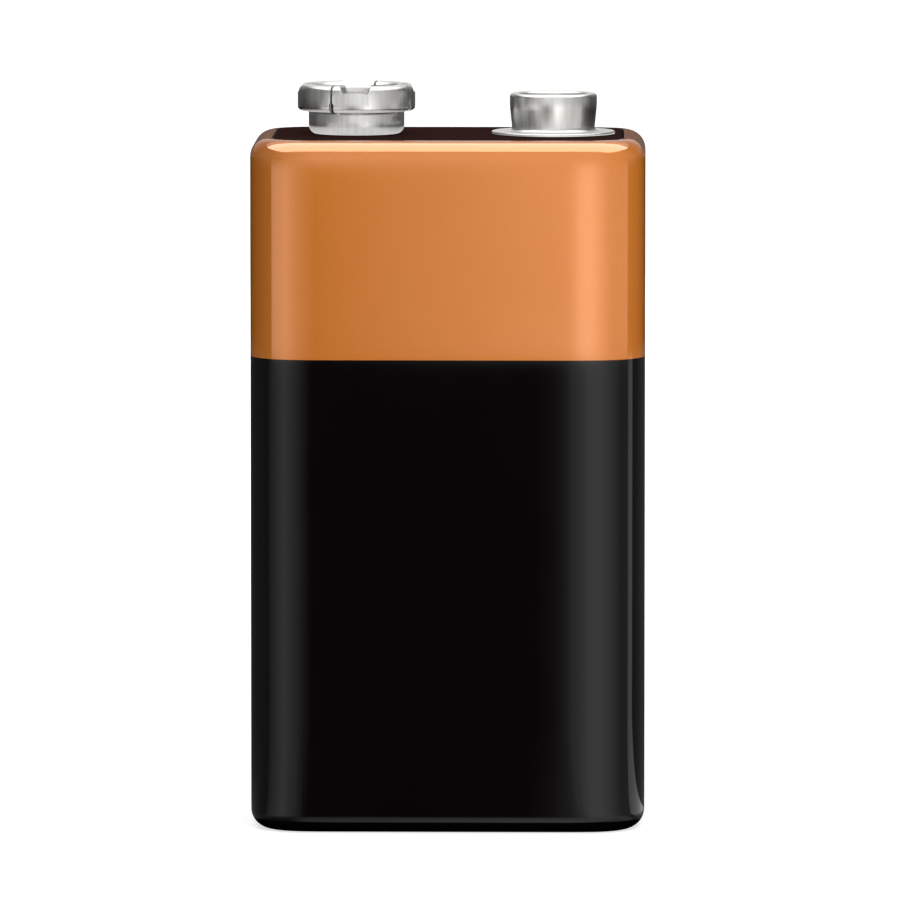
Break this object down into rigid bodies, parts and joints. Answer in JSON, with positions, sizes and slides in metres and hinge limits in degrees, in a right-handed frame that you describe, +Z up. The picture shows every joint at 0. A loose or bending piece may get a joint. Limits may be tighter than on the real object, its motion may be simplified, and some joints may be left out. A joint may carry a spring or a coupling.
{
  "type": "nine volt battery",
  "caption": "Upright rectangular battery in a two-colour printed metal jacket, with a snap stud and a snap socket as terminals on top and a stack of round cells inside.",
  "frame": {"origin": "middle of the base, on the plane that the battery stands on", "axes": "+Z up through the terminals, +X from the negative to the positive terminal, -Y out of the front face"},
  "size_m": [0.0258, 0.017, 0.0485],
  "materials": {
    "printed_tinplate": "gloss lacquered print, black below and copper above",
    "terminal_board": "dark brown laminated board, matte",
    "nickel_plate": "bright nickel plate on steel",
    "contact_nickel": "satin nickel strip",
    "can_steel": "satin nickel-plated steel",
    "sleeve_film": "thin shrunk film",
    "frame_plastic": "moulded dark plastic",
    "liner_paper": "kraft paper",
    "insulating_card": "pressed card"
  },
  "bodies": {
    "root": {"jacket": "printed_tinplate", "terminal_board": "terminal_board", "base_board": "terminal_board", "negative_socket": "nickel_plate", "positive_stud": "nickel_plate", "negative_eyelet": "nickel_plate", "positive_eyelet": "nickel_plate", "negative_strip": "contact_nickel", "positive_strip": "contact_nickel", "spacer_frame": "frame_plastic", "liner": "liner_paper", "base_card": "insulating_card", "cell_1": "can_steel", "cell_2": "can_steel", "cell_3": "can_steel", "cell_4": "can_steel", "cell_5": "can_steel", "cell_6": "can_steel", "cell_sleeve_1": "sleeve_film", "cell_sleeve_2": "sleeve_film", "cell_sleeve_3": "sleeve_film", "cell_sleeve_4": "sleeve_film", "cell_sleeve_5": "sleeve_film", "cell_sleeve_6": "sleeve_film", "base_link_1": "contact_nickel", "base_link_2": "contact_nickel", "base_link_3": "contact_nickel", "top_link_1": "contact_nickel", "top_link_2": "contact_nickel"}
  },
  "joints": []
}
